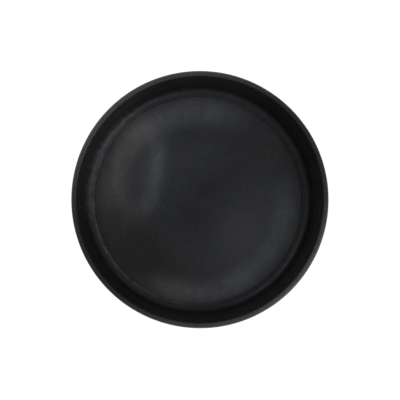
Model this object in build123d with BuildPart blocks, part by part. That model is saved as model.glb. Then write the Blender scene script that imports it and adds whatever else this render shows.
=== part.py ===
"""Sink plunger: a moulded rubber cup, and a turned wooden handle that screws out of its neck.

Millimetres, +Z up. The origin is the centre of the cup's mouth, in the plane of the lip that
the plunger stands on. The handle stands along +Z and its hanging hole runs along Y.

A steel plate with a threaded bush riveted to it is bonded inside the rubber of the crown and
neck. A die-cast tip, pinned to the handle, screws into the bush and bears on a soft washer.
"""

import os
from math import radians, tan

from build123d import *

os.makedirs("parts", exist_ok=True)

# ---------------------------------------------------------------- cup, one rubber moulding
rim_radius = 65.0  # outside of the lip
lip_width = 2.6  # ring that seals on the sink
lip_round = 0.7  # rounding of the lip's two edges
lip_band = 5.0  # height of the thicker band at the lip
lip_step = 0.8  # how far the wall steps in above the band
lip_step_round = 0.7
cup_depth = 41.5  # mouth to the edge of the ceiling
wall_draft = 3.1  # how much narrower the inside is at the ceiling
wall_thickness = 3.0  # at the shoulder
corner_round = 3.2  # inside corner between wall and ceiling
shoulder_round = 10.0  # outside corner between wall and crown
crown_edge = 4.6  # rubber between ceiling and crown at the shoulder
crown_round = 30.0  # where the crown's slope meets its flat top
crown_flat_radius = 33.0
groove_inset = 4.0  # centre line of the groove in the ceiling, from the ceiling's edge
groove_width = 1.3
groove_depth = 0.5
groove_round = 0.2
ceiling_rise = 1.4  # how much deeper the middle of the ceiling is
ceiling_edge = 4.4  # flat ring inside the groove
ceiling_slope = 11.0  # width of the slope between that ring and the flat middle
ceiling_round = 40.0  # where the slope meets the two flats

# ---------------------------------------------------------------- neck of the cup
neck_radius = 20.5  # at the crown
neck_taper = 1.3  # how much slimmer the neck is under its bead
neck_height = 34.4  # crown top to neck top
neck_root_round = 9.0
bead_height = 7.0
bead_step = 1.9  # how far the bead stands out from the neck
bead_round = 1.4

# ---------------------------------------------------------------- plate and bush in the rubber
bond_gap = 0.05  # adhesive between the rubber and what it holds
fit_gap = 0.03  # between pieces pressed or riveted together
plate_radius = 30.0
plate_thickness = 1.5
plate_hole_radius = 3.5  # the rubber flows through these
plate_hole_circle = 21.0  # radius that the holes stand on
plate_hole_count = 8
skin_under_rivet = 1.7  # rubber between the rivet head and the ceiling
cover_over_plate = 2.8  # rubber between the plate and the crown
rivet_radius = 8.0
rivet_head_radius = 10.5
rivet_head_height = 1.0
bush_radius = 13.5
bush_groove_depth = 1.0  # the rubber grips in these
bush_groove_width = 3.4
bush_groove_count = 3
bush_floor = 3.0  # nylon under the blind hole

# ---------------------------------------------------------------- screw thread
thread_pitch = 5.08
thread_turns = 4  # turns that free the handle
thread_radius = 9.4  # crest of the tip's thread
thread_depth = 1.6
thread_gap = 0.3  # radial play in the bush
flank_gap = 0.13  # what each ridge gives up on each flank
flank_angle = 14.5  # degrees
thread_sink = 0.4  # how far a ridge is sunk into what it stands on
thread_lead = 2.0  # cone at the thread's end and the bush's mouth

# ---------------------------------------------------------------- washer, tip and pin
washer_radius = 16.0
washer_thickness = 2.2
washer_round = 0.5
flange_step = 2.2  # how far the flange stands out from the skirt
flange_height = 2.4
flange_round = 0.7
skirt_radius = 14.4
skirt_wall = 1.7
skirt_height = 24.0
skirt_lip = 0.8  # rolled edge at the skirt's mouth
skirt_lip_height = 2.6
socket_floor = 3.4  # metal between the washer and the wood
socket_end_gap = 0.4  # air under the wood
tip_bore_radius = 4.4  # the thread's core is cast hollow
tip_bore_roof = 3.0  # metal above that hollow, below the washer's top
pin_radius = 1.25
pin_height = 12.0  # above the flange
pin_chamfer = 0.2

# ---------------------------------------------------------------- handle and eyelet
handle_length = 150.0  # above the skirt's mouth
root_step = 0.2  # how far the wood is set back from the skirt
waist_radius = 11.6
waist_height = 27.0  # above the skirt's mouth
grip_radius = 17.6
grip_drop = 54.0  # below the handle's top
end_radius = 15.4
end_drop = 17.0
crown_spot = 3.0  # radius of the flat spot at the very top
line_depth = 0.5  # turned decorative lines
line_width = 1.2
line_heights = (52.0, 55.5)  # above the skirt's mouth
hole_drop = 28.0  # hanging hole, below the handle's top
eyelet_radius = 3.6  # clear hole through the eyelet
eyelet_wall = 0.9
eyelet_flange_step = 1.9  # how far the rolled flange stands out from the barrel
eyelet_flange = 0.9  # thickness
eyelet_round = 0.6
eyelet_seat_depth = 2.6  # spot face, measured from the grip's surface

# ---------------------------------------------------------------- levels and radii that follow
mouth_radius = rim_radius - lip_width
ceiling_radius = mouth_radius - wall_draft
band_radius = rim_radius - lip_step
shoulder_radius = ceiling_radius + wall_thickness
groove_radius = ceiling_radius - groove_inset
slope_radius = groove_radius - groove_width / 2 - ceiling_edge
middle_depth = cup_depth + ceiling_rise
plate_bottom = middle_depth + skin_under_rivet + rivet_head_height
plate_top = plate_bottom + plate_thickness
crown_top = plate_top + cover_over_plate
neck_top = crown_top + neck_height
waisted_neck = neck_radius - neck_taper
bead_radius = waisted_neck + bead_step
washer_top = neck_top + washer_thickness
flange_top = washer_top + flange_height
skirt_top = flange_top + skirt_height
socket_bottom = washer_top + socket_floor
socket_radius = skirt_radius - skirt_wall
flange_radius = skirt_radius + flange_step
root_radius = skirt_radius - root_step
handle_top = skirt_top + handle_length
hole_level = handle_top - hole_drop
eyelet_barrel_radius = eyelet_radius + eyelet_wall
eyelet_flange_radius = eyelet_barrel_radius + eyelet_flange_step
pin_level = flange_top + pin_height

thread_length = thread_turns * thread_pitch
thread_bottom = neck_top - thread_length
core_radius = thread_radius - thread_depth
pitch_radius = thread_radius - thread_depth / 2
bush_crest_radius = core_radius + thread_gap
bush_bore_radius = thread_radius + thread_gap
first_turn = thread_bottom + thread_pitch / 2  # middle of a ridge where it starts


def ridge_corners(root, crest):
    """Corners of a thread's ridge in (radius, height), at the level where the ridge starts."""
    slope = tan(radians(flank_angle))
    half_width = thread_pitch / 4 - flank_gap
    root_half = half_width + abs(root - pitch_radius) * slope
    crest_half = half_width - abs(crest - pitch_radius) * slope
    return [
        (root, first_turn - root_half),
        (crest, first_turn - crest_half),
        (crest, first_turn + crest_half),
        (root, first_turn + root_half),
    ]


def bush_outline(gap):
    """Outside of the riveted bush in (radius, height) from its foot up, grown by gap."""
    points = [
        (0, plate_bottom - rivet_head_height - gap),
        (rivet_head_radius + gap, plate_bottom - rivet_head_height - gap),
        (rivet_head_radius + gap, plate_bottom),
        (rivet_radius, plate_bottom),
        (rivet_radius, plate_top),
        (bush_radius + gap, plate_top),
    ]
    spacing = (neck_top - plate_top) / (bush_groove_count + 1)
    for number in range(bush_groove_count):
        middle = plate_top + spacing * (number + 1)
        low = middle - bush_groove_width / 2 + gap
        high = middle + bush_groove_width / 2 - gap
        floor = bush_radius - bush_groove_depth + gap
        points += [(bush_radius + gap, low), (floor, low), (floor, high), (bush_radius + gap, high)]
    points.append((bush_radius + gap, neck_top))
    return points


# ---------------------------------------------------------------- shapes used as tools
# What the rubber leaves free for the plate: pegs of rubber stand in the plate's holes.
with BuildPart() as plate_cavity:
    with BuildSketch(Plane.XY.offset(plate_bottom - bond_gap)):
        Circle(plate_radius + bond_gap)
        with PolarLocations(plate_hole_circle, plate_hole_count):
            Circle(plate_hole_radius - bond_gap, mode=Mode.SUBTRACT)
    extrude(amount=plate_thickness + 2 * bond_gap)

# What the rubber leaves free for the bush and its rivet head.
with BuildPart() as bush_cavity:
    with BuildSketch(Plane.XZ):
        with BuildLine():
            Polyline(*bush_outline(bond_gap), (0, neck_top), close=True)
        make_face()
    revolve(axis=Axis.Z)

# The ridges of the two threads. Each starts on +X and climbs counter-clockwise.
ridge_lines = {
    "tip": (core_radius - thread_sink, thread_radius),
    "bush": (bush_bore_radius + thread_sink, bush_crest_radius),
}
ridges = {}
for owner, (root, crest) in ridge_lines.items():
    with BuildPart() as ridge:
        with BuildLine() as ridge_path:
            Helix(
                thread_pitch,
                thread_length - thread_pitch,
                pitch_radius,
                center=(0, 0, first_turn),
            )
        with BuildSketch(Plane.XZ) as ridge_section:
            with BuildLine():
                Polyline(*ridge_corners(root, crest), close=True)
            make_face()
        sweep(ridge_section.sketch, path=ridge_path.line, is_frenet=True)
    ridges[owner] = ridge.part

# ---------------------------------------------------------------- cup
cup_outline = [
    # (radius, height), rounding of that corner
    ((0, middle_depth), 0),
    ((slope_radius - ceiling_slope, middle_depth), ceiling_round),
    ((slope_radius, cup_depth), ceiling_round),
    ((groove_radius - groove_width / 2, cup_depth), groove_round),
    ((groove_radius - groove_width / 2, cup_depth + groove_depth), groove_round),
    ((groove_radius + groove_width / 2, cup_depth + groove_depth), groove_round),
    ((groove_radius + groove_width / 2, cup_depth), groove_round),
    ((ceiling_radius, cup_depth), corner_round),
    ((mouth_radius, 0), lip_round),
    ((rim_radius, 0), lip_round),
    ((rim_radius, lip_band), lip_step_round),
    ((band_radius, lip_band + lip_step), lip_step_round),
    ((shoulder_radius, cup_depth + crown_edge), shoulder_round),
    ((crown_flat_radius, crown_top), crown_round),
    ((neck_radius, crown_top), neck_root_round),
    ((waisted_neck, neck_top - bead_height - bead_step), bead_round),
    ((bead_radius, neck_top - bead_height), bead_round),
    ((bead_radius, neck_top), bead_round),
    ((0, neck_top), 0),
]
with BuildPart() as cup:
    with BuildSketch(Plane.XZ):
        with BuildLine():
            FilletPolyline(
                *[corner for corner, _ in cup_outline],
                radius=[rounding for _, rounding in cup_outline],
                close=True,
            )
        make_face()
    revolve(axis=Axis.Z)
    add(plate_cavity.part, mode=Mode.SUBTRACT)
    add(bush_cavity.part, mode=Mode.SUBTRACT)

# ---------------------------------------------------------------- crown plate
with BuildPart() as crown_plate:
    with BuildSketch(Plane.XY.offset(plate_bottom)):
        Circle(plate_radius)
        Circle(rivet_radius + fit_gap, mode=Mode.SUBTRACT)
        with PolarLocations(plate_hole_circle, plate_hole_count):
            Circle(plate_hole_radius, mode=Mode.SUBTRACT)
    extrude(amount=plate_thickness)

# ---------------------------------------------------------------- threaded bush
with BuildPart() as threaded_bush:
    with BuildSketch(Plane.XZ):
        with BuildLine():
            Polyline(
                *bush_outline(0),
                (bush_bore_radius, neck_top),
                (bush_bore_radius, plate_top + bush_floor),
                (0, plate_top + bush_floor),
                close=True,
            )
        make_face()
    revolve(axis=Axis.Z)
    # half a turn round from the tip's ridge, so the two stand in each other's grooves
    add(ridges["bush"], rotation=(0, 0, 180))
    with BuildSketch(Plane.XZ):
        with BuildLine():
            Polyline(
                (bush_crest_radius, neck_top - thread_lead),
                (bush_crest_radius + thread_lead, neck_top),
                (0, neck_top),
                (0, neck_top - thread_lead),
                close=True,
            )
        make_face()
    revolve(axis=Axis.Z, mode=Mode.SUBTRACT)

# ---------------------------------------------------------------- seat washer
with BuildPart() as seat_washer:
    with BuildSketch(Plane.XY.offset(neck_top)):
        Circle(washer_radius)
        Circle(bush_bore_radius, mode=Mode.SUBTRACT)
    extrude(amount=washer_thickness)
    outer_edges = seat_washer.edges().filter_by(GeomType.CIRCLE).group_by(SortBy.RADIUS)[-1]
    fillet(outer_edges, washer_round)

# ---------------------------------------------------------------- threaded tip
tip_outline = [
    ((tip_bore_radius, thread_bottom), 0),
    ((core_radius, thread_bottom), 0),
    ((core_radius, washer_top), 0),
    ((flange_radius, washer_top), flange_round),
    ((flange_radius, flange_top), flange_round),
    ((skirt_radius, flange_top), flange_round),
    ((skirt_radius, skirt_top - skirt_lip_height), skirt_lip / 2),
    ((skirt_radius + skirt_lip, skirt_top - skirt_lip_height + skirt_lip), skirt_lip / 2),
    ((skirt_radius + skirt_lip, skirt_top), skirt_lip),
    ((socket_radius, skirt_top), 0),
    ((socket_radius, socket_bottom), 0),
    ((0, socket_bottom), 0),
    ((0, washer_top - tip_bore_roof), 0),
    ((tip_bore_radius, washer_top - tip_bore_roof), 0),
]
with BuildPart() as threaded_tip:
    with BuildSketch(Plane.XZ):
        with BuildLine():
            FilletPolyline(
                *[corner for corner, _ in tip_outline],
                radius=[rounding for _, rounding in tip_outline],
                close=True,
            )
        make_face()
    revolve(axis=Axis.Z)
    add(ridges["tip"])
    with BuildSketch(Plane.XZ):
        with BuildLine():
            Polyline(
                (core_radius, thread_bottom),
                (thread_radius + thread_lead, thread_bottom),
                (thread_radius + thread_lead, thread_bottom + 2 * thread_lead),
                close=True,
            )
        make_face()
    revolve(axis=Axis.Z, mode=Mode.SUBTRACT)
    with BuildSketch(Plane.YZ):
        with Locations((0, pin_level)):
            Circle(pin_radius + fit_gap)
    extrude(amount=skirt_radius + skirt_lip, both=True, mode=Mode.SUBTRACT)

# ---------------------------------------------------------------- tip pin
with BuildPart() as tip_pin:
    with BuildSketch(Plane.YZ):
        with Locations((0, pin_level)):
            Circle(pin_radius)
    extrude(amount=skirt_radius, both=True)
    chamfer(tip_pin.edges().filter_by(GeomType.CIRCLE), pin_chamfer)

# ---------------------------------------------------------------- handle
with BuildLine() as grip_line:
    Spline(
        (root_radius, skirt_top),
        (waist_radius, skirt_top + waist_height),
        (grip_radius, handle_top - grip_drop),
        (end_radius, handle_top - end_drop),
        (crown_spot, handle_top),
        tangents=[(-0.25, 1), (-1, 0)],
    )


def grip_radius_at(level):
    """Radius of the turned grip at a height above the cup's mouth."""
    reach = Edge.make_line((0, level), (grip_radius * 2, level))
    return grip_line.edge().find_intersection_points(reach)[0].X


seat_half_width = grip_radius_at(hole_level) - eyelet_seat_depth
with BuildPart() as handle:
    with BuildSketch(Plane.XZ):
        with BuildLine():
            add(grip_line.line)
            Polyline(
                (crown_spot, handle_top),
                (0, handle_top),
                (0, socket_bottom + socket_end_gap),
                (socket_radius - fit_gap, socket_bottom + socket_end_gap),
                (socket_radius - fit_gap, skirt_top),
                (root_radius, skirt_top),
            )
        make_face()
    revolve(axis=Axis.Z)
    for line_height in line_heights:
        line_level = skirt_top + line_height
        line_radius = grip_radius_at(line_level)
        with BuildSketch(Plane.XZ):
            with BuildLine():
                Polyline(
                    (line_radius - line_depth, line_level),
                    (line_radius + line_depth, line_level - line_width),
                    (line_radius + line_depth, line_level + line_width),
                    close=True,
                )
            make_face()
        revolve(axis=Axis.Z, mode=Mode.SUBTRACT)
    with BuildSketch(Plane.YZ):
        with Locations((0, pin_level)):
            Circle(pin_radius + fit_gap)
    extrude(amount=skirt_radius, both=True, mode=Mode.SUBTRACT)
    with BuildSketch(Plane.XZ):
        with Locations((0, hole_level)):
            Circle(eyelet_barrel_radius + fit_gap)
    extrude(amount=grip_radius, both=True, mode=Mode.SUBTRACT)
    for side in (1, -1):
        with BuildSketch(Plane.XZ.offset(side * seat_half_width)):
            with Locations((0, hole_level)):
                Circle(eyelet_flange_radius + fit_gap)
        extrude(amount=side * grip_radius, mode=Mode.SUBTRACT)

# ---------------------------------------------------------------- eyelet of the hanging hole
eyelet_half = seat_half_width + eyelet_flange
eyelet_outline = [
    # (distance along the hole, radius), rounding of that corner
    ((-eyelet_half, eyelet_radius), eyelet_round / 2),
    ((-eyelet_half, eyelet_flange_radius), eyelet_round),
    ((-seat_half_width, eyelet_flange_radius), 0),
    ((-seat_half_width, eyelet_barrel_radius), 0),
    ((seat_half_width, eyelet_barrel_radius), 0),
    ((seat_half_width, eyelet_flange_radius), 0),
    ((eyelet_half, eyelet_flange_radius), eyelet_round),
    ((eyelet_half, eyelet_radius), eyelet_round / 2),
]
along_hole = Plane(origin=(0, 0, hole_level), x_dir=(0, 1, 0), z_dir=(1, 0, 0))
with BuildPart() as hang_eyelet:
    with BuildSketch(along_hole):
        with BuildLine():
            FilletPolyline(
                *[corner for corner, _ in eyelet_outline],
                radius=[rounding for _, rounding in eyelet_outline],
                close=True,
            )
        make_face()
    revolve(axis=Axis((0, 0, hole_level), (0, 1, 0)))

# ---------------------------------------------------------------- files, one for each piece
pieces = {
    "cup": cup,
    "crown_plate": crown_plate,
    "threaded_bush": threaded_bush,
    "seat_washer": seat_washer,
    "threaded_tip": threaded_tip,
    "tip_pin": tip_pin,
    "handle": handle,
    "hang_eyelet": hang_eyelet,
}
for name, piece in pieces.items():
    piece.part.label = name
    export_step(piece.part, f"parts/{name}.step")
    print(name, round(piece.part.volume), "mm3")
print("seat half width", round(seat_half_width, 3), "handle top", round(handle_top, 3))
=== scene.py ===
"""Looks of a sink plunger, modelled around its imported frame.

The plunger stands on its lip at the origin and its handle rises along +Z. Everything is in
metres. The frame gives each piece its place; what a frame box can't give is a named size in
the property groups below. Run as a script, the file models every piece in turn.
"""

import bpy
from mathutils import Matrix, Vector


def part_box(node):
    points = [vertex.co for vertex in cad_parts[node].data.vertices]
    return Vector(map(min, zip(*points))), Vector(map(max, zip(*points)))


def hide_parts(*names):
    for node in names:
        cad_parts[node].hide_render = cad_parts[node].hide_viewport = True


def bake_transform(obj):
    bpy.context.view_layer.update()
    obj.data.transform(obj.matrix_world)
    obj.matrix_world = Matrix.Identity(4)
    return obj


bl_info = {
    "name": "Sink plunger",
    "version": (1, 0, 0),
    "blender": (4, 5, 0),
    "location": "3D View > Sidebar > Plunger",
    "description": "Models a rubber sink plunger with a turned handle around its frame",
    "category": "Object",
}

from math import ceil, cos, pi, radians, sin, tan
from types import SimpleNamespace

import bmesh
import bpy
from mathutils import Matrix, Vector

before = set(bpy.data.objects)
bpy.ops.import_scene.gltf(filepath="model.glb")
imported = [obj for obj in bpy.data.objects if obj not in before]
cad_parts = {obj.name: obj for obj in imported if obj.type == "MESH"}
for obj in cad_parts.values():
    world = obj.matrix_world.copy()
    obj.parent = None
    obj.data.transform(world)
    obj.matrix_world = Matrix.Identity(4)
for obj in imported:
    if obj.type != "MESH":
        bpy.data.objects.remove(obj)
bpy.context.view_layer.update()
MM = 0.001
# faces once round the Z axis, and faces in each rounding of a section
ROUND_STEPS = 256
ARC_SEGMENTS = 6
# the attribute that holds each point's place at rest
REST_PLACE = "rest_place"
ROOM_TINT = (0.95, 0.97, 1.0, 1.0)


def radius_of(node):
    """Outer radius of a round CAD node that stands on the Z axis."""
    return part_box(node)[1].x


def foot_of(node):
    """Lowest level of a CAD node."""
    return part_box(node)[0].z


def top_of(node):
    """Highest level of a CAD node."""
    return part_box(node)[1].z


# ------------------------------------------------------------------ settings


def length(name, description, default):
    """A length in metres that the panel shows with its unit."""
    return bpy.props.FloatProperty(
        name=name, description=description, default=default, unit="LENGTH", precision=5
    )


def colour(name, description, default):
    """A colour that the panel shows as a swatch."""
    return bpy.props.FloatVectorProperty(
        name=name, description=description, default=default, subtype="COLOR", min=0, max=1
    )


def share(name, description, default):
    """A share from 0 to 1, or a strength of that order."""
    return bpy.props.FloatProperty(name=name, description=description, default=default, min=0)


class CupSizes(bpy.types.PropertyGroup):
    """Sizes of the rubber moulding that its frame box doesn't give."""

    lip_width: length("Lip width", "Ring that seals on the sink", 2.6 * MM)
    lip_round: length("Lip rounding", "Rounding of the lip's edges", 0.7 * MM)
    lip_band: length("Lip band", "Height of the thicker band at the lip", 5.0 * MM)
    lip_step: length("Lip step", "How far the wall steps in above the band", 0.8 * MM)
    depth: length("Depth", "From the mouth to the edge of the ceiling", 41.5 * MM)
    draft: length("Draft", "How much narrower the inside is at the ceiling", 3.1 * MM)
    wall: length("Wall", "Thickness of the wall at the shoulder", 3.0 * MM)
    corner_round: length("Corner", "Inside corner between wall and ceiling", 3.2 * MM)
    shoulder_round: length("Shoulder", "Outside corner between wall and crown", 10.0 * MM)
    crown_edge: length("Crown edge", "Rubber over the ceiling at the shoulder", 4.6 * MM)
    crown_flat: length("Crown flat", "Radius of the crown's flat middle", 33.0 * MM)
    crown_round: length("Crown rounding", "Rounding where the flat middle ends", 30.0 * MM)
    crown_cover: length("Crown cover", "Rubber over the steel plate", 2.8 * MM)
    ceiling_rise: length("Ceiling rise", "How much deeper the middle is", 1.4 * MM)
    ceiling_edge: length("Ceiling edge", "Flat ring inside the groove", 4.4 * MM)
    ceiling_slope: length("Ceiling slope", "Slope round the flat middle", 11.0 * MM)
    ceiling_round: length("Ceiling rounding", "Rounding where the slope meets the flats", 40.0 * MM)
    groove_round: length("Groove rounding", "Rounding of the groove", 0.2 * MM)
    groove_inset: length("Groove inset", "Groove to the ceiling's edge", 4.0 * MM)
    groove_width: length("Groove width", "Width of the ceiling's groove", 1.3 * MM)
    groove_depth: length("Groove depth", "Depth of the ceiling's groove", 0.5 * MM)
    neck_radius: length("Neck radius", "Radius of the neck at the crown", 20.5 * MM)
    neck_taper: length("Neck taper", "How much slimmer the neck is at its bead", 1.3 * MM)
    neck_root: length("Neck root", "Rounding between crown and neck", 9.0 * MM)
    bead_height: length("Bead height", "Height of the bead round the neck", 7.0 * MM)
    bead_step: length("Bead step", "How far the bead stands out", 1.9 * MM)
    bead_round: length("Bead rounding", "Rounding of the bead", 1.4 * MM)
    bore_round: length("Bore rounding", "Rounding of the neck's mouth", 0.3 * MM)
    bond_gap: length("Bond gap", "Adhesive round the plate and the bush", 0.05 * MM)
    rivet_radius: length("Rivet radius", "Radius of the bush's rivet head", 10.5 * MM)
    flash: length("Flash", "Height of the mould's parting line", 0.12 * MM)
    flash_width: length("Flash width", "Width of the mould's parting line", 0.36 * MM)


class CupFinish(bpy.types.PropertyGroup):
    """Colours and wear of the black rubber, and the colours of its painted light."""

    black: colour("Black", "Clean rubber", (0.0125, 0.0125, 0.0135))
    bloom: colour("Bloom", "Grey bloom that rubber grows with age", (0.066, 0.068, 0.073))
    # film and warm film also colour the painted light on the ceiling's lit side and edge, outside the
    # groove and in the groove
    film: colour("Film", "Thick pale film where water dried", (0.242, 0.248, 0.274))
    warm_film_and_light: colour("Warm film", "Browner film on one side", (0.262, 0.252, 0.256))
    lip: colour("Lip", "Rubbed rubber of the lip", (0.026, 0.026, 0.027))
    # this colour paints highlights on the lip, where the soft boxes reflect
    lip_painted_highlight: colour("Worn lip", "Where the lip has worn pale", (0.115, 0.115, 0.120))
    scratch: colour("Scratches", "Fine scratches on the ceiling", (0.16, 0.17, 0.17))
    bloom_share: share("Bloom share", "How much of the surface has bloomed", 0.35)


class HandleFinish(bpy.types.PropertyGroup):
    """Colours and wear of the turned beech handle."""

    early: colour("Early wood", "Pale wood between the growth lines", (0.58, 0.355, 0.185))
    late: colour("Late wood", "Darker wood of the growth lines", (0.40, 0.215, 0.098))
    fleck: colour("Flecks", "Short dark flecks of beech", (0.17, 0.080, 0.036))
    grime: colour("Grime", "Dirt in the turned lines and at the fittings", (0.050, 0.032, 0.020))
    ring_width: length("Ring width", "Growth of the tree in a year", 2.2 * MM)
    pith_x: length("Pith X", "Where the tree's middle lay", 41.0 * MM)
    pith_y: length("Pith Y", "Where the tree's middle lay", 27.0 * MM)
    line_height: length("Line height", "Lower turned line above the tip", 52.0 * MM)
    line_spacing: length("Line spacing", "Between the two turned lines", 3.5 * MM)


class FittingFinish(bpy.types.PropertyGroup):
    """Colours of the metal fittings, the bush and the washer."""

    zinc: colour("Zinc", "Satin plating of the tip", (0.47, 0.475, 0.485))
    zinc_dull: colour("Dulled zinc", "Oxidised plating", (0.27, 0.275, 0.28))
    steel: colour("Steel", "Pin and plate", (0.56, 0.56, 0.57))
    steel_dull: colour("Dulled steel", "Stained steel", (0.30, 0.285, 0.27))
    brass: colour("Brass", "Eyelet", (0.66, 0.45, 0.17))
    brass_dull: colour("Dulled brass", "Tarnished brass", (0.24, 0.145, 0.055))
    nylon: colour("Nylon", "Glass-filled nylon of the bush", (0.028, 0.028, 0.030))
    nylon_dust: colour("Nylon dust", "Pale dust on the bush", (0.16, 0.16, 0.155))
    washer: colour("Washer", "Red-brown rubber of the washer", (0.165, 0.034, 0.022))
    talc: colour("Talc", "Pale dust on the washer", (0.42, 0.30, 0.26))


class StageSettings(bpy.types.PropertyGroup):
    """Floor, lights and camera."""

    floor_colour: colour("Floor", "Pale floor", (0.80, 0.80, 0.80))
    floor_mottle: colour("Floor mottle", "Darker places of the floor", (0.70, 0.70, 0.70))
    floor_radius: length("Floor radius", "Radius of the floor", 4.0)
    card_drop: length("Card drop", "Floor down to the white card", 0.5 * MM)
    card: share("Card light", "Brightness of the white card under the floor", 1.05)
    room: share("Room light", "Light of the pale room over the floor", 0.82)
    under: share("Light below", "Even light under the floor", 0.16)
    camera_distance: length("Camera distance", "Camera to the lip", 0.897)
    camera_left: length("Camera left", "Camera's shift to the left of the axis", 19.1 * MM)
    camera_down: length("Camera down", "Camera's shift below the axis in the view", 6.5 * MM)
    aim_left: length("Aim left", "Where the camera looks, left of the axis in the view", 0.06 * MM)
    aim_down: length("Aim down", "Where the camera looks, below the axis in the view", 0.22 * MM)
    lens: bpy.props.FloatProperty(
        name="Lens", description="Focal length of the camera", default=160.0, subtype="DISTANCE_CAMERA"
    )


# ------------------------------------------------------------------ modelling


def bevel_offset(before, corner, after, rounding):
    """Distance from a corner to where an arc of this radius leaves its two sides."""
    turn = (corner - before).angle(after - corner)
    return rounding * tan(turn / 2)


def profile(bm, corners, run):
    """Draws an outline of ((radius, height), rounding) in the XZ plane, from axis to axis.

    No edge is longer than run.
    """
    verts = [bm.verts.new((radius, 0, height)) for (radius, height), _ in corners]
    for first, second in zip(verts, verts[1:]):
        bm.edges.new((first, second))
    roundings = [rounding for _, rounding in corners]
    # every offset is worked out before the first rounding moves a neighbour
    offsets = [
        (vert, bevel_offset(before.co, vert.co, after.co, rounding))
        for before, vert, after, rounding in zip(verts, verts[1:], verts[2:], roundings[1:])
        if rounding > 0
    ]
    for vert, offset in offsets:
        bmesh.ops.bevel(
            bm,
            geom=[vert],
            offset=offset,
            offset_type="OFFSET",
            segments=ARC_SEGMENTS,
            profile=0.5,
            affect="VERTICES",
            clamp_overlap=True,
            material=-1,
        )
    for edge in list(bm.edges):
        cuts = ceil(edge.calc_length() / run) - 1
        if cuts > 0:
            bmesh.ops.subdivide_edges(bm, edges=[edge], cuts=cuts)


def lathe(bm, steps):
    """Turns everything in bm once round the Z axis and closes its seam and poles."""
    bmesh.ops.spin(
        bm,
        geom=bm.verts[:] + bm.edges[:],
        cent=(0, 0, 0),
        axis=(0, 0, 1),
        dvec=(0, 0, 0),
        angle=2 * pi,
        steps=steps,
        use_merge=True,
    )
    bmesh.ops.remove_doubles(bm, verts=bm.verts[:], dist=0.004 * MM)
    bmesh.ops.recalc_face_normals(bm, faces=bm.faces[:])


def new_object(bm, name, material):
    """Makes bm an object at the origin with this material."""
    mesh = bpy.data.meshes.new(name)
    bm.to_mesh(mesh)
    bm.free()
    mesh.materials.append(material)
    made = bpy.data.objects.new(name, mesh)
    bpy.context.scene.collection.objects.link(made)
    return made


def finish_piece(bm, name, material, sharp_angle=radians(40)):
    """Makes bm a smooth-shaded piece with its material."""
    piece = new_object(bm, name, material)
    piece.data.shade_smooth()
    piece.data.set_sharp_from_angle(angle=sharp_angle)
    return piece


# ------------------------------------------------------------------ nodes


def put(tree, kind, inputs=None, **settings):
    """Adds a node. An input's value is a number, a colour or another node's socket."""
    node = tree.nodes.new(kind)
    for key, value in settings.items():
        setattr(node, key, value)
    for key, value in (inputs or {}).items():
        if isinstance(value, bpy.types.NodeSocket):
            tree.links.new(value, node.inputs[key])
        else:
            node.inputs[key].default_value = value
    return node


def maths(tree, operation, *values, clamp=False):
    """A Math node's result for these numbers or sockets."""
    inputs = dict(enumerate(values))
    return put(tree, "ShaderNodeMath", inputs, operation=operation, use_clamp=clamp).outputs[0]


def times(tree, *factors):
    """Product of these numbers or sockets."""
    product = factors[0]
    for factor in factors[1:]:
        product = maths(tree, "MULTIPLY", product, factor)
    return product


def vector_maths(tree, operation, *vectors):
    """A Vector Math node's result, which is a number for a length or a dot product."""
    node = put(tree, "ShaderNodeVectorMath", dict(enumerate(vectors)), operation=operation)
    return node.outputs["Value" if operation in ("LENGTH", "DOT_PRODUCT") else "Vector"]


def span(tree, value, low, high, to_low=0.0, to_high=1.0, smooth=False):
    """Maps low..high to to_low..to_high and holds the ends."""
    inputs = {0: value, 1: low, 2: high, 3: to_low, 4: to_high}
    kind = "SMOOTHSTEP" if smooth else "LINEAR"
    return put(tree, "ShaderNodeMapRange", inputs, clamp=True, interpolation_type=kind).outputs[0]


def near(tree, value, level, width, smooth=False):
    """1 where value is at this level, and 0 from width away."""
    away = maths(tree, "ABSOLUTE", maths(tree, "SUBTRACT", value, level))
    return span(tree, away, width, 0.0, smooth=smooth)


def noise(tree, vector, size, detail=2.0, roughness=0.5, distortion=0.0):
    """Noise from 0 to 1 whose features are about size metres wide."""
    inputs = {
        "Vector": vector,
        "Scale": 1 / size,
        "Detail": detail,
        "Roughness": roughness,
        "Distortion": distortion,
    }
    return put(tree, "ShaderNodeTexNoise", inputs).outputs["Fac"]


def noise_along(tree, value, scale, detail, roughness):
    """Noise from 0 to 1 that changes with one value only."""
    inputs = {"W": value, "Scale": scale, "Detail": detail, "Roughness": roughness}
    return put(tree, "ShaderNodeTexNoise", inputs, noise_dimensions="1D").outputs["Fac"]


def layered(tree, ground, *layers):
    """A ground colour under others, each given after how much it covers.

    A colour is a triple or a socket.
    """
    top = ground
    for amount, tone in layers:
        node = put(tree, "ShaderNodeMix", data_type="RGBA")
        for index, value in ((0, amount), (6, top), (7, tone)):
            if isinstance(value, bpy.types.NodeSocket):
                tree.links.new(value, node.inputs[index])
            else:
                node.inputs[index].default_value = (*value, 1.0)
        top = node.outputs[2]
    return top


def bumps(tree, *layers):
    """A normal bent by several heights, each given with the metres that 1 stands for."""
    normal = None
    for height, distance in layers:
        inputs = {"Height": height, "Distance": distance, "Strength": 1.0}
        if normal is not None:
            inputs["Normal"] = normal
        normal = put(tree, "ShaderNodeBump", inputs).outputs[0]
    return normal


def object_position(tree):
    """Object coordinates, in metres."""
    return put(tree, "ShaderNodeTexCoord").outputs["Object"]


def mapped(tree, position, scale, place=(0.0, 0.0, 0.0), turn=0.0):
    """The position scaled, turned about Z by these degrees and moved."""
    inputs = {
        "Vector": position,
        "Location": place,
        "Rotation": (0.0, 0.0, radians(turn)),
        "Scale": scale,
    }
    return put(tree, "ShaderNodeMapping", inputs).outputs[0]


def flat(tree, position):
    """The position seen along the Z axis."""
    return vector_maths(tree, "MULTIPLY", position, (1.0, 1.0, 0.0))


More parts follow.
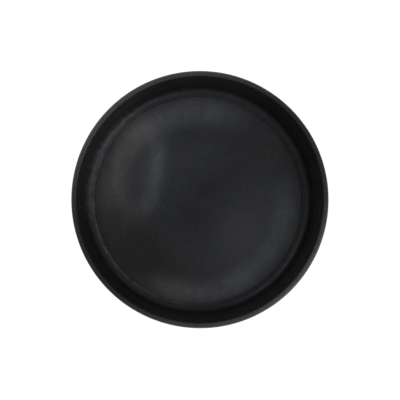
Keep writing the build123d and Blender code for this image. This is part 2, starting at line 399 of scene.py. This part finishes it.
def new_material(name):
    """An empty node material and its tree."""
    material = bpy.data.materials.new(name)
    material.use_nodes = True
    material.node_tree.nodes.clear()
    return material, material.node_tree


def finish_material(tree, inputs):
    """Ends a tree in one Principled shader with these inputs."""
    shader = put(tree, "ShaderNodeBsdfPrincipled", inputs)
    put(tree, "ShaderNodeOutputMaterial", {"Surface": shader.outputs[0]})


def glowing_material(name, tint, strength):
    """A surface that gives light."""
    material, tree = new_material(name)
    glow = put(tree, "ShaderNodeEmission", {"Color": tint, "Strength": strength})
    put(tree, "ShaderNodeOutputMaterial", {"Surface": glow.outputs[0]})
    return material


# ------------------------------------------------------------------ marks and painted light on the rubber


def oval_distance(tree, position, place, half_length, half_width, turn):
    """Distance from the middle of an oval in the XY plane, 1 on the oval itself."""
    inputs = {
        "Vector": position,
        "Location": (place[0] * MM, place[1] * MM, 0.0),
        "Rotation": (0.0, 0.0, radians(turn)),
        "Scale": (half_width * MM, half_length * MM, 1.0e9),
    }
    local = put(tree, "ShaderNodeMapping", inputs, vector_type="TEXTURE").outputs[0]
    return vector_maths(tree, "LENGTH", local)


def oval(tree, position, *shape):
    """1 in the middle of an oval patch in the XY plane and 0 outside it."""
    return span(tree, oval_distance(tree, position, *shape), 1.0, 0.0, smooth=True)


def hoop(tree, position, *shape):
    """1 on the line of an oval in the XY plane and 0 away from it."""
    return near(tree, oval_distance(tree, position, *shape), 1.0, 0.5, smooth=True)


def sector(tree, position, angle, half_angle):
    """1 on the side of the Z axis that this angle points to, and 0 past the half angle."""
    facing = (cos(radians(angle)), sin(radians(angle)), 0.0)
    outward = vector_maths(tree, "NORMALIZE", flat(tree, position))
    turned = vector_maths(tree, "DOT_PRODUCT", outward, facing)
    return span(tree, turned, cos(radians(half_angle)), 1.0, smooth=True)


def crescent(tree, position, angle, half_angle, level, half_width):
    """1 in the middle of a patch that follows a circle round the Z axis, and 0 outside it."""
    radius = vector_maths(tree, "LENGTH", flat(tree, position))
    across = near(tree, radius, level * MM, half_width * MM, smooth=True)
    return times(tree, sector(tree, position, angle, half_angle), across)


def marked(tree, position, *kinds):
    """Sum of marks of several kinds, each given as its function and its rows.

    A row holds the shape of one mark and ends in its strength.
    """
    total = 0.0
    for draw, rows in kinds:
        for *shape, strength in rows:
            total = maths(tree, "MULTIPLY_ADD", draw(tree, position, *shape), strength, total)
    return total


# The marks, painted light and shade among them. Places and sizes are in mm from the cup's axis, and
# angles in degrees from +X towards
# +Y. An oval's length lies along Y before its turn.

# Painted light on the side of the ceiling that the soft boxes light, broken up like pale film: (x, y),
# half length, half width, turn, strength.
PAINTED_LIGHT_PATCHES = (
    ((-23.0, -15.0), 27.0, 9.5, 8.0, 0.30),
    ((-20.0, -25.0), 15.0, 5.5, 12.0, 0.12),
    ((-40.0, -10.0), 26.0, 13.0, 14.0, 0.12),
    ((3.0, -19.0), 26.0, 20.0, 0.0, 0.08),
    ((-27.0, 1.0), 10.0, 9.0, 30.0, 0.10),
)
# Dried rims of old puddles: as above, and only the line round the oval is pale.
FILM_HOOPS = (((-32.5, -16.5), 22.0, 10.5, 2.0, 0.17),)
# Painted highlights that follow the ceiling's edge, where the soft boxes reflect: angle, half angle,
# radius, half width, strength.
PAINTED_HIGHLIGHT_CRESCENTS = (
    (-104.0, 52.0, 48.0, 13.0, 0.48),
    (-152.0, 42.0, 49.5, 12.0, 0.24),
    (86.0, 42.0, 50.0, 11.0, 0.52),
    (30.0, 52.0, 48.0, 13.0, 0.46),
)
# Painted light outside the groove, on the side that the soft boxes light: angle, half angle, strength.
CORNER_PAINTED_LIGHT = (
    (-156.0, 42.0, 0.34),
    (-95.0, 36.0, 0.06),
)
# A painted highlight along the groove, on the side that catches the light: angle, half angle,
# strength.
GROOVE_PAINTED_HIGHLIGHT = ((-170.0, 60.0, 0.40), (125.0, 62.0, 0.18))
# Painted highlights on the lip, on the two sides where the soft boxes reflect: angle, half angle,
# strength.
LIP_PAINTED_HIGHLIGHTS = ((-118.0, 76.0, 0.74), (60.0, 76.0, 0.70))
# Painted shade on the ceiling, between the sides that the soft boxes light: columns as for the painted
# light patches.
PAINTED_SHADE_PATCHES = (
    ((-31.0, 28.0), 18.0, 26.0, 28.0, 1.00),
    ((-43.0, 2.0), 24.0, 5.0, 8.0, 0.35),
    ((12.0, -12.0), 6.0, 24.0, -35.0, 0.30),
)
# Fine scratches: columns as for the painted light patches.
SCRATCHES = (
    ((-21.5, 1.5), 4.2, 0.24, -28.0, 0.70),
    ((-18.6, 3.9), 2.6, 0.28, 35.0, 0.85),
    ((6.0, 34.0), 6.5, 0.20, -46.0, 0.45),
    ((-39.5, 15.0), 12.0, 0.40, 1.0, 0.22),
    ((-38.0, 17.5), 10.0, 0.30, -2.0, 0.14),
    ((20.5, -34.0), 4.0, 0.18, 38.0, 0.25),
    ((-38.2, -19.5), 1.3, 0.45, 15.0, 0.55),
    ((-36.6, -17.5), 0.9, 0.40, -30.0, 0.35),
    ((-39.4, -17.0), 0.8, 0.35, 50.0, 0.30),
    ((-25.0, -29.0), 1.8, 0.90, 20.0, 0.22),
)


# ------------------------------------------------------------------ materials


def rubber_zones(tree, position):
    """Where a point lies on the cup: each zone is 1 inside and falls to 0 past its edge."""
    cup = bpy.context.scene.plunger_cup
    x, y, z = put(tree, "ShaderNodeSeparateXYZ", {0: position}).outputs
    radius = vector_maths(tree, "LENGTH", flat(tree, position))
    mouth = radius_of("cup") - cup.lip_width
    ceiling = mouth - cup.draft
    groove = ceiling - cup.groove_inset
    # the wall leans in towards the ceiling, and the rubber within it or on it is inside
    wall_line = span(tree, z, 0.0, cup.depth, mouth, ceiling)
    inside = span(tree, maths(tree, "SUBTRACT", radius, wall_line), 0.9 * MM, 0.3 * MM)
    # levels that part the ceiling from the wall below it and from the pocket above it
    deep = span(tree, z, cup.depth - 15 * MM, cup.depth + 2 * MM, smooth=True)
    below_crown = span(tree, z, cup.depth + 1.8 * MM, cup.depth + 1.5 * MM)
    below_plate = span(tree, z, cup.depth + 2.2 * MM, cup.depth + 1.6 * MM)
    above_corner = span(tree, z, cup.depth - 3.0 * MM, cup.depth - 0.6 * MM)
    below_corner = span(tree, z, cup.depth - 1 * MM, cup.depth - 5 * MM)
    from_groove = maths(tree, "ABSOLUTE", maths(tree, "SUBTRACT", radius, groove))
    return SimpleNamespace(
        x=x,
        y=y,
        radius=radius,
        deep_inside=times(tree, deep, inside, below_crown),
        on_ceiling=times(tree, below_plate, above_corner),
        on_wall=times(tree, inside, below_corner),
        within_groove=span(tree, radius, groove + 0.3 * MM, groove - 0.6 * MM),
        past_groove=span(tree, radius, groove + 0.3 * MM, groove + 0.9 * MM),
        at_groove=span(tree, from_groove, 1.1 * MM, 0.5 * MM, smooth=True),
        at_lip=span(tree, z, 2.2 * MM, 0.6 * MM, smooth=True),
    )


def ceiling_marks(tree, position, zones, *kinds):
    """Marks that lie on the ceiling only, from 0 to 1."""
    total = marked(tree, position, *kinds)
    return maths(tree, "MULTIPLY", total, zones.on_ceiling, clamp=True)


def grey_bloom_less_painted_shade(tree, position, zones, middling, broken, rings, bloom_share):
    """How much grey bloom has grown on each point, from 0 to 1, less where shade is painted."""
    broad = noise(tree, position, 42 * MM, 3, 0.55)
    patches = span(tree, broad, 0.30, 0.75, 0.05, 1.0)
    bloom = times(tree, patches, span(tree, middling, 0.2, 0.8, 0.55, 1.15), bloom_share)
    bloom = maths(tree, "MULTIPLY_ADD", zones.deep_inside, 0.25, bloom)
    runs = noise(tree, mapped(tree, position, (1.0, 1.0, 0.16)), 2.4 * MM, 4, 0.6, 0.5)
    runs = times(tree, span(tree, runs, 0.45, 0.70, -0.15, 0.45), zones.on_wall)
    bloom = times(tree, maths(tree, "ADD", bloom, runs), broken)
    # the bloom follows the turning marks of the mould
    turned = times(tree, maths(tree, "SUBTRACT", rings, 0.5), zones.on_ceiling)
    bloom = times(tree, bloom, maths(tree, "MULTIPLY_ADD", turned, 1.4, 1.0))
    # painted shade: the bloom is taken away between the sides that the soft boxes light
    dark = ceiling_marks(tree, position, zones, (oval, PAINTED_SHADE_PATCHES))
    return maths(tree, "SUBTRACT", bloom, times(tree, dark, 0.5), clamp=True)


def pale_film_and_painted_light(tree, position, zones, streaks, broken):
    """How much thick pale film and painted light lie on each point, from 0 to 1."""
    # the patches and crescents are painted light, and the hoop is film
    kinds = ((oval, PAINTED_LIGHT_PATCHES), (hoop, FILM_HOOPS), (crescent, PAINTED_HIGHLIGHT_CRESCENTS))
    film = ceiling_marks(tree, position, zones, *kinds)
    wiped = noise(tree, streaks, 9.0 * MM, 5, 0.62, 0.8)
    film = times(tree, film, zones.within_groove, span(tree, wiped, 0.3, 0.7, 0.70, 1.20))
    blotches = noise(tree, position, 4.5 * MM, 4, 0.65, 0.9)
    uneven = span(tree, blotches, 0.36, 0.64, 0.35, 1.75)
    # painted light on the band outside the groove, and a painted highlight in the groove
    for zone, rows in ((zones.past_groove, CORNER_PAINTED_LIGHT), (zones.at_groove, GROOVE_PAINTED_HIGHLIGHT)):
        sides = marked(tree, position, (sector, rows))
        painted_band_light = times(tree, sides, zone, zones.deep_inside, uneven)
        film = maths(tree, "ADD", film, painted_band_light, clamp=True)
    return times(tree, film, span(tree, broken, 0.4, 1.5, 0.72, 1.25))


def film_and_light_tint(tree, zones, finish):
    """Colour of the film and of the painted light, which is browner on the -X side and near the +Y
    edge.
    """
    side = span(tree, zones.x, -22 * MM, -36 * MM, smooth=True)
    foot = times(
        tree,
        span(tree, zones.y, 26 * MM, 40 * MM, smooth=True),
        span(tree, zones.x, 16 * MM, -4 * MM),
    )
    warm = times(tree, maths(tree, "MAXIMUM", side, foot), zones.within_groove)
    return layered(tree, finish.film, (warm, finish.warm_film_and_light))


def rubber_material(name, finish):
    """Moulded black rubber with bloom, smears, turning marks and a rubbed lip, with painted light,
    highlights and shade on the ceiling and painted highlights on the lip.
    """
    material, tree = new_material(name)
    position = put(tree, "ShaderNodeAttribute", attribute_name=REST_PLACE).outputs["Vector"]
    zones = rubber_zones(tree, position)
    middling = noise(tree, position, 11 * MM, 4, 0.6, 0.4)
    fine = noise(tree, position, 0.9 * MM, 3, 0.6)
    grit = noise(tree, position, 0.22 * MM, 2, 0.5)
    rings = noise_along(tree, zones.radius, 1 / (1.6 * MM), 4.0, 0.7)

    # smears and dust break up the bloom, the film and the painted light
    streaks = mapped(tree, position, (1.0, 0.62, 1.0), turn=24)
    smear = noise(tree, streaks, 3.2 * MM, 5, 0.68, 1.6)
    dust = span(tree, noise(tree, position, 1.3 * MM, 4, 0.7), 0.35, 0.75, -0.5, 0.5)
    broken = maths(tree, "MULTIPLY_ADD", dust, 0.60, span(tree, smear, 0.25, 0.75, 0.45, 1.45))

    bloom = grey_bloom_less_painted_shade(tree, position, zones, middling, broken, rings, finish.bloom_share)
    # film here holds the pale film and the painted light on the ceiling
    film = pale_film_and_painted_light(tree, position, zones, streaks, broken)
    scratched = ceiling_marks(tree, position, zones, (oval, SCRATCHES))
    rubbed = times(tree, zones.at_lip, span(tree, middling, 0.25, 0.7, 0.7, 1.0))
    # worn is painted highlights on the lip, on the two sides where the soft boxes reflect
    worn = times(tree, marked(tree, position, (sector, LIP_PAINTED_HIGHLIGHTS)), rubbed)
    base = layered(
        tree,
        finish.black,
        (bloom, finish.bloom),
        # pale film together with painted light and highlights on the ceiling
        (film, film_and_light_tint(tree, zones, finish)),
        (span(tree, fine, 0.62, 0.78, 0.0, 0.35), finish.bloom),
        (scratched, finish.scratch),
        (rubbed, finish.lip),
        # painted highlights on the lip
        (worn, finish.lip_painted_highlight),
    )

    rings = times(tree, rings, zones.on_ceiling)
    matt_middle = span(tree, zones.radius, 30 * MM, 6 * MM, 0.0, 0.20, smooth=True)
    rough = span(tree, middling, 0.2, 0.8, 0.33, 0.45)
    rough = maths(tree, "MULTIPLY_ADD", matt_middle, zones.on_ceiling, rough)
    rough = maths(tree, "MULTIPLY_ADD", bloom, 0.10, rough)
    rough = maths(tree, "MULTIPLY_ADD", scratched, 0.15, rough, clamp=True)
    rough = maths(tree, "MULTIPLY_ADD", rings, 0.16, rough)
    rough = maths(tree, "SUBTRACT", rough, 0.07, clamp=True)
    finish_material(
        tree,
        {
            "Base Color": base,
            "Roughness": rough,
            "Specular IOR Level": 0.5,
            "Anisotropic": 0.5,
            "Anisotropic Rotation": 0.25,
            "Tangent": put(tree, "ShaderNodeTangent", direction_type="RADIAL", axis="Z").outputs[0],
            "Normal": bumps(
                tree,
                (rings, 0.030 * MM),
                (middling, 0.25 * MM),
                (fine, 0.02 * MM),
                (grit, 0.006 * MM),
                (scratched, -0.03 * MM),
            ),
        },
    )
    return material


def growth_lines(tree, position, finish):
    """The tree's growth lines, which wander a little along the handle."""
    wander = noise(tree, mapped(tree, position, (1.0, 1.0, 0.05)), 14 * MM, 3, 0.5)
    pith = mapped(tree, position, (1.0, 1.0, 0.02), place=(finish.pith_x, finish.pith_y, 0.0))
    age = maths(tree, "MULTIPLY_ADD", wander, 6 * MM, vector_maths(tree, "LENGTH", pith))
    years = maths(tree, "DIVIDE", age, finish.ring_width)
    within_year = maths(tree, "FRACT", years)
    uneven = noise_along(tree, years, 0.37, 3.0, 0.6)
    return times(
        tree,
        span(tree, within_year, 0.35, 0.95, smooth=True),
        span(tree, within_year, 1.0, 0.95),
        span(tree, uneven, 0.3, 0.7, 0.25, 0.9),
    )


def beech_dirt(tree, position, z, smudge, finish, tip_top, hole_level):
    """Dirt in the turned lines, at the tip, round the eyelet and where hands hold the wood."""
    lower = tip_top + finish.line_height
    upper = lower + finish.line_spacing
    lines = [near(tree, z, level, 0.75 * MM) for level in (lower, upper)]
    lines = times(tree, maths(tree, "MAXIMUM", *lines), 0.85)
    root = span(tree, z, tip_top + 7 * MM, tip_top - 1 * MM, 0.0, 0.9, smooth=True)
    hole = mapped(tree, position, (1.0, 0.0, 1.0), place=(0.0, 0.0, -hole_level))
    from_hole = vector_maths(tree, "LENGTH", hole)
    at_eyelet = span(tree, from_hole, 9.0 * MM, 5.8 * MM, 0.0, 0.75, smooth=True)
    corners = maths(tree, "MAXIMUM", root, at_eyelet)
    corners = times(tree, corners, span(tree, smudge, 0.32, 0.62, 0.15, 1.0))
    handled = noise(tree, position, 26 * MM, 4, 0.6, 0.3)
    handled = span(tree, handled, 0.50, 0.72, 0.0, 0.22)
    return maths(tree, "MAXIMUM", lines, maths(tree, "MAXIMUM", corners, handled))


def beech_material(name, finish, tip_top, hole_level):
    """Turned beech under a thin worn lacquer: growth lines, flecks and dirt in the corners."""
    material, tree = new_material(name)
    position = object_position(tree)
    z = put(tree, "ShaderNodeSeparateXYZ", {0: position}).outputs["Z"]
    broad = noise(tree, mapped(tree, position, (1.0, 1.0, 0.05)), 7 * MM, 3, 0.55)
    fibres = noise(tree, mapped(tree, position, (1.0, 1.0, 0.04)), 0.35 * MM, 4, 0.65)
    pores = noise(tree, mapped(tree, position, (1.0, 1.0, 0.10)), 0.30 * MM, 2, 0.5)
    rays = noise(tree, mapped(tree, position, (1.0, 1.0, 0.16)), 0.62 * MM, 1, 0.4)
    flecks = times(tree, span(tree, rays, 0.655, 0.715), span(tree, broad, 0.3, 0.6, 0.25, 0.70))
    smudge = noise(tree, position, 5 * MM, 4, 0.65, 0.5)
    soiled = beech_dirt(tree, position, z, smudge, finish, tip_top, hole_level)
    base = layered(
        tree,
        finish.early,
        (growth_lines(tree, position, finish), finish.late),
        (span(tree, broad, 0.35, 0.75, 0.0, 0.45), finish.late),
        (span(tree, fibres, 0.5, 0.75, 0.0, 0.30), finish.late),
        (span(tree, pores, 0.64, 0.74, 0.0, 0.45), finish.fleck),
        (flecks, finish.fleck),
        (soiled, finish.grime),
    )
    rough = span(tree, smudge, 0.3, 0.7, 0.34, 0.50)
    rough = maths(tree, "MULTIPLY_ADD", soiled, 0.22, rough, clamp=True)
    turning = noise_along(tree, z, 1 / (0.7 * MM), 3.0, 0.6)
    surface = bumps(
        tree,
        (turning, 0.020 * MM),
        (fibres, 0.030 * MM),
        (pores, -0.020 * MM),
        (smudge, 0.10 * MM),
    )
    finish_material(
        tree,
        {
            "Base Color": base,
            "Roughness": rough,
            "Coat Weight": 0.35,
            "Coat Roughness": 0.20,
            "Normal": surface,
        },
    )
    return material


def metal_material(name, bright, dull, shine, texture, grain=(1.0, 1.0, 1.0)):
    """Worn metal that has dulled in patches; texture is the size of its surface in metres."""
    material, tree = new_material(name)
    position = object_position(tree)
    patches = noise(tree, position, 6 * MM, 4, 0.62, 0.6)
    fine = noise(tree, mapped(tree, position, grain), texture, 3, 0.6)
    specks = noise(tree, position, 1.1 * MM, 2, 0.5)
    crossing = noise(tree, mapped(tree, position, (0.5, 1.0, 0.12)), 1.6 * MM, 1, 0.3)
    scratch = near(tree, crossing, 0.5, 0.006)
    dulled = span(tree, patches, 0.38, 0.74, 0.15, 0.75)
    spots = span(tree, specks, 0.66, 0.74, 0.0, 0.7)
    stain = tuple(part * 0.35 for part in dull)
    base = layered(
        tree, bright, (dulled, dull), (spots, stain), (times(tree, scratch, 0.5), bright)
    )
    rough = span(tree, dulled, 0.0, 1.0, shine, shine + 0.20)
    rough = maths(tree, "ADD", rough, span(tree, fine, 0.3, 0.7, -0.05, 0.07))
    rough = maths(tree, "MULTIPLY_ADD", spots, 0.25, rough, clamp=True)
    surface = bumps(tree, (fine, 0.05 * texture), (patches, 0.06 * MM), (scratch, -0.008 * MM))
    finish_material(
        tree, {"Base Color": base, "Metallic": 1.0, "Roughness": rough, "Normal": surface}
    )
    return material


def moulded_material(name, body, dust, rough, dustiness):
    """Moulded plastic or rubber with dust in its texture; rough is its range of roughness."""
    material, tree = new_material(name)
    position = object_position(tree)
    patches = noise(tree, position, 5 * MM, 4, 0.6, 0.4)
    fine = noise(tree, position, 0.5 * MM, 3, 0.6)
    flow = noise(tree, mapped(tree, position, (1.0, 1.0, 0.3)), 2.5 * MM, 3, 0.6, 0.8)
    dusty = times(
        tree, span(tree, fine, 0.45, 0.70), span(tree, patches, 0.35, 0.7), dustiness
    )
    base = layered(
        tree,
        body,
        (span(tree, flow, 0.3, 0.7, 0.0, 0.35), (0.0, 0.0, 0.0)),
        (dusty, dust),
    )
    surface = bumps(tree, (fine, 0.025 * MM), (patches, 0.08 * MM))
    roughness = span(tree, patches, 0.25, 0.75, *rough)
    finish_material(tree, {"Base Color": base, "Roughness": roughness, "Normal": surface})
    return material


def repaint(node, material):
    """Gives a CAD node its worked-out material."""
    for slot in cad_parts[node].material_slots:
        slot.material = material


# ------------------------------------------------------------------ operators


class PLUNGER_OT_cup(bpy.types.Operator):
    """Turns the rubber cup with its neck, pocket and parting line."""

    bl_idname = "plunger.cup"
    bl_label = "Rubber cup"

    def execute(self, context):
        size = context.scene.plunger_cup
        rim = radius_of("cup")
        bm = bmesh.new()
        profile(bm, self.section(size, rim), run=2.0 * MM)
        lathe(bm, steps=ROUND_STEPS)
        self.parting_line(bm, size, rim)
        rubber = rubber_material("rubber_aged_painted_light", context.scene.plunger_cup_finish)
        piece = finish_piece(bm, "cup_rubber", rubber)
        # each point keeps its place at rest, which the film and the painted light are drawn from
        at_rest = piece.data.attributes.new(REST_PLACE, "FLOAT_VECTOR", "POINT")
        at_rest.data.foreach_set("vector", [part for vert in piece.data.vertices for part in vert.co])
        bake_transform(piece)
        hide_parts("cup")
        return {"FINISHED"}

    def section(self, size, rim):
        """Half of the cup's section, from the ceiling's middle round to the pocket's middle."""
        neck_top = top_of("cup")
        mouth = rim - size.lip_width
        ceiling = mouth - size.draft
        middle = size.depth + size.ceiling_rise
        groove = ceiling - size.groove_inset
        groove_in = groove - size.groove_width / 2
        groove_out = groove + size.groove_width / 2
        slope_out = groove_in - size.ceiling_edge
        crown_top = top_of("crown_plate") + size.crown_cover
        waisted = size.neck_radius - size.neck_taper
        bead = waisted + size.bead_step
        gap = size.bond_gap
        bore = radius_of("threaded_bush") + gap
        plate = radius_of("crown_plate") + gap
        plate_foot = foot_of("crown_plate") - gap
        plate_top = top_of("crown_plate") + gap
        rivet = size.rivet_radius + gap
        rivet_foot = foot_of("threaded_bush") - gap
        return [
            ((0, middle), 0),
            ((slope_out - size.ceiling_slope, middle), size.ceiling_round),
            ((slope_out, size.depth), size.ceiling_round),
            ((groove_in, size.depth), size.groove_round),
            ((groove_in, size.depth + size.groove_depth), size.groove_round),
            ((groove_out, size.depth + size.groove_depth), size.groove_round),
            ((groove_out, size.depth), size.groove_round),
            ((ceiling, size.depth), size.corner_round),
            ((mouth, 0), size.lip_round),
            ((rim, 0), size.lip_round),
            ((rim, size.lip_band), size.lip_round),
            ((rim - size.lip_step, size.lip_band + size.lip_step), size.lip_round),
            ((ceiling + size.wall, size.depth + size.crown_edge), size.shoulder_round),
            ((size.crown_flat, crown_top), size.crown_round),
            ((size.neck_radius, crown_top), size.neck_root),
            ((waisted, neck_top - size.bead_height - size.bead_step), size.bead_round),
            ((bead, neck_top - size.bead_height), size.bead_round),
            ((bead, neck_top), size.bead_round),
            ((bore, neck_top), size.bore_round),
            ((bore, plate_top), 0),
            ((plate, plate_top), 0),
            ((plate, plate_foot), 0),
            ((rivet, plate_foot), 0),
            ((rivet, rivet_foot), 0),
            ((0, rivet_foot), 0),
        ]

    def parting_line(self, bm, size, rim):
        """Raises a thin line of flash on the outside, where the two halves of the mould met."""
        for side in (-size.flash_width / 2, size.flash_width / 2):
            bmesh.ops.bisect_plane(
                bm,
                geom=bm.verts[:] + bm.edges[:] + bm.faces[:],
                dist=0.001 * MM,
                plane_co=(0, side, 0),
                plane_no=(0, 1, 0),
            )
        # the line stays off the lip, the inside of the cup and the pocket for the plate and bush
        clear = 1.0 * MM
        above_lip = 1.5 * MM
        above_ceiling = size.depth + 3.2 * MM
        above_crown = top_of("crown_plate") + size.crown_cover - 0.1 * MM
        past_inside = rim - size.lip_width
        past_plate = radius_of("crown_plate") + clear
        past_bush = radius_of("threaded_bush") + clear
        bm.normal_update()
        for vert in bm.verts:
            radius = vert.co.xy.length
            height = vert.co.z
            on_wall = radius > past_inside and above_lip < height < size.depth
            on_crown = radius > past_plate and height > above_ceiling
            on_neck = radius > past_bush and height > above_crown
            in_middle = abs(vert.co.y) < size.flash_width / 8
            if in_middle and (on_wall or on_crown or on_neck):
                vert.co += vert.normal * size.flash


class PLUNGER_OT_handle(bpy.types.Operator):
    """Gives the turned handle its beech and lacquer."""

    bl_idname = "plunger.handle"
    bl_label = "Beech handle"

    def execute(self, context):
        low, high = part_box("hang_eyelet")
        repaint(
            "handle",
            beech_material(
                "beech_lacquered",
                context.scene.plunger_handle_finish,
                tip_top=top_of("threaded_tip"),
                hole_level=(low.z + high.z) / 2,
            ),
        )
        return {"FINISHED"}


class PLUNGER_OT_fittings(bpy.types.Operator):
    """Gives the tip, pin, plate and eyelet their metals."""

    bl_idname = "plunger.fittings"
    bl_label = "Metal fittings"

    def execute(self, context):
        finish = context.scene.plunger_fitting_finish
        zinc = metal_material(
            "zinc_satin", finish.zinc, finish.zinc_dull, shine=0.34, texture=0.35 * MM
        )
        steel = metal_material(
            "steel_drawn",
            finish.steel,
            finish.steel_dull,
            shine=0.24,
            texture=0.20 * MM,
            grain=(1.0, 0.08, 1.0),
        )
        sheet = metal_material(
            "steel_sheet",
            finish.steel,
            finish.steel_dull,
            shine=0.30,
            texture=0.30 * MM,
            grain=(0.08, 1.0, 1.0),
        )
        brass = metal_material(
            "brass_rolled",
            finish.brass,
            finish.brass_dull,
            shine=0.26,
            texture=0.25 * MM,
            grain=(0.3, 0.3, 1.0),
        )
        repaint("threaded_tip", zinc)
        repaint("tip_pin", steel)
        repaint("crown_plate", sheet)
        repaint("hang_eyelet", brass)
        return {"FINISHED"}


class PLUNGER_OT_mouldings(bpy.types.Operator):
    """Gives the bush its nylon and the washer its red-brown rubber."""

    bl_idname = "plunger.mouldings"
    bl_label = "Bush and washer"

    def execute(self, context):
        finish = context.scene.plunger_fitting_finish
        nylon = moulded_material(
            "nylon_filled", finish.nylon, finish.nylon_dust, rough=(0.42, 0.60), dustiness=0.3
        )
        rubber = moulded_material(
            "rubber_red", finish.washer, finish.talc, rough=(0.55, 0.75), dustiness=0.35
        )
        repaint("threaded_bush", nylon)
        repaint("seat_washer", rubber)
        return {"FINISHED"}


# Soft boxes: name, place, aimed at, size, power, tint. Those below the floor light the inside.
SOFT_BOXES = (
    ("key", (0.9, -1.1, 1.5), (0, 0, 0.12), 0.9, 15.0, (1.0, 0.98, 0.95)),
    ("fill", (-1.3, -0.6, 0.9), (0, 0, 0.12), 1.0, 4.0, (0.95, 0.97, 1.0)),
    ("back", (-0.3, 1.4, 1.2), (0, 0, 0.15), 0.8, 8.0, (1.0, 1.0, 1.0)),
    ("under_middle", (0.0, 0.0, -1.30), (0, 0, 0.03), 0.70, 0.32, (0.96, 0.98, 1.0)),
    ("under_left", (-0.35, -0.29, -0.85), (0, 0, 0.03), 0.30, 0.50, (0.92, 0.96, 1.0)),
    ("under_right", (0.38, 0.25, -0.85), (0, 0, 0.03), 0.30, 1.10, (0.96, 0.98, 1.0)),
)


class PLUNGER_OT_stage(bpy.types.Operator):
    """Floor, lights, world and camera."""

    bl_idname = "plunger.stage"
    bl_label = "Stage"

    def execute(self, context):
        stage = context.scene.plunger_stage
        self.floor(stage)
        self.dome(stage)
        self.lights(context)
        self.world(context, stage)
        self.camera(context, stage)
        return {"FINISHED"}

    def ring(self, name, level, material, stage):
        """A flat ring round the cup's foot, open under the cup so that its inside can be seen."""
        bm = bmesh.new()
        opening = radius_of("cup") - 0.05 * MM
        for radius in (opening, stage.floor_radius):
            bmesh.ops.create_circle(bm, segments=ROUND_STEPS, radius=radius, cap_ends=False)
        bmesh.ops.bridge_loops(bm, edges=bm.edges[:])
        bmesh.ops.translate(bm, vec=(0, 0, level), verts=bm.verts[:])
        bmesh.ops.recalc_face_normals(bm, faces=bm.faces[:])
        ring = new_object(bm, name, material)

    def floor(self, stage):
        """The pale floor, and a white card under it that shows from below."""
        material, tree = new_material("floor_paint")
        mottle = span(tree, noise(tree, object_position(tree), 0.15, 3), 0.3, 0.7, 0.97, 1.0)
        base = layered(tree, stage.floor_mottle, (mottle, stage.floor_colour))
        finish_material(tree, {"Base Color": base, "Roughness": 0.6})
        self.ring("floor", 0.0, material, stage)
        card = glowing_material("card_white", (1.0, 1.0, 1.0, 1.0), stage.card)
        self.ring("card_under_floor", -stage.card_drop, card, stage)

    def dome(self, stage):
        """A pale room over the floor, which lights the outside and not the inside of the cup."""
        bm = bmesh.new()
        bmesh.ops.create_uvsphere(bm, u_segments=24, v_segments=12, radius=stage.floor_radius)
        everything = bm.verts[:] + bm.edges[:] + bm.faces[:]
        bmesh.ops.bisect_plane(bm, geom=everything, plane_no=(0, 0, -1), clear_outer=True)
        dome = new_object(bm, "dome", glowing_material("dome_pale", ROOM_TINT, stage.room))
        dome.data.shade_smooth()

    def lights(self, context):
        """Soft boxes above the floor for the outside and below it for the inside."""
        for name, place, target, size, power, tint in SOFT_BOXES:
            light = bpy.data.lights.new(name, "AREA")
            light.energy = power
            light.size = size
            light.color = tint
            lamp = bpy.data.objects.new(name, light)
            lamp.location = place
            direction = Vector(target) - Vector(place)
            lamp.rotation_euler = direction.to_track_quat("-Z", "Y").to_euler()
            context.scene.collection.objects.link(lamp)

    def world(self, context, stage):
        """Dim even light, which only reaches what the dome leaves open, under the floor."""
        world = bpy.data.worlds.new("room")
        world.use_nodes = True
        background = world.node_tree.nodes["Background"]
        background.inputs["Color"].default_value = ROOM_TINT
        background.inputs["Strength"].default_value = stage.under
        context.scene.world = world
        context.scene.view_settings.view_transform = "Standard"

    def camera(self, context, stage):
        """A camera under the floor that looks up into the cup, a little off its axis."""
        camera = bpy.data.objects.new("camera", bpy.data.cameras.new("camera"))
        context.scene.collection.objects.link(camera)
        context.scene.camera = camera
        camera.data.lens = stage.lens
        camera.data.sensor_width = 36.0
        camera.data.clip_end = 20.0
        place = Vector((-stage.camera_left, stage.camera_down, -stage.camera_distance))
        aim = Vector((-stage.aim_left, stage.aim_down, 0.0))
        forward = (aim - place).normalized()
        right = forward.cross(Vector((0.0, -1.0, 0.0))).normalized()
        up = right.cross(forward)
        turn = Matrix((right, up, -forward)).transposed().to_4x4()
        camera.matrix_world = Matrix.Translation(place) @ turn


class PLUNGER_PT_panel(bpy.types.Panel):
    """Lists the plunger's pieces and settings."""

    bl_idname = "PLUNGER_PT_panel"
    bl_label = "Sink plunger"
    bl_space_type = "VIEW_3D"
    bl_region_type = "UI"
    bl_category = "Plunger"

    def draw(self, context):
        for operator in OPERATORS:
            self.layout.operator(operator.bl_idname)
        for group in SETTINGS:
            settings = getattr(context.scene, group)
            for name in settings.__annotations__:
                self.layout.prop(settings, name)


OPERATORS = (
    PLUNGER_OT_cup,
    PLUNGER_OT_handle,
    PLUNGER_OT_fittings,
    PLUNGER_OT_mouldings,
    PLUNGER_OT_stage,
)
SETTINGS = {
    "plunger_cup": CupSizes,
    "plunger_cup_finish": CupFinish,
    "plunger_handle_finish": HandleFinish,
    "plunger_fitting_finish": FittingFinish,
    "plunger_stage": StageSettings,
}


def register():
    """Adds the classes, and the settings to the scene."""
    for cls in (*SETTINGS.values(), *OPERATORS, PLUNGER_PT_panel):
        bpy.utils.register_class(cls)
    for name, group in SETTINGS.items():
        setattr(bpy.types.Scene, name, bpy.props.PointerProperty(type=group))


def unregister():
    """Takes away what register added."""
    for name in SETTINGS:
        delattr(bpy.types.Scene, name)
    for cls in (PLUNGER_PT_panel, *reversed(OPERATORS), *SETTINGS.values()):
        bpy.utils.unregister_class(cls)


def main():
    """Models every piece."""
    register()
    bpy.ops.plunger.cup()
    bpy.ops.plunger.handle()
    bpy.ops.plunger.fittings()
    bpy.ops.plunger.mouldings()
    bpy.ops.plunger.stage()


if __name__ == "__main__":
    main()
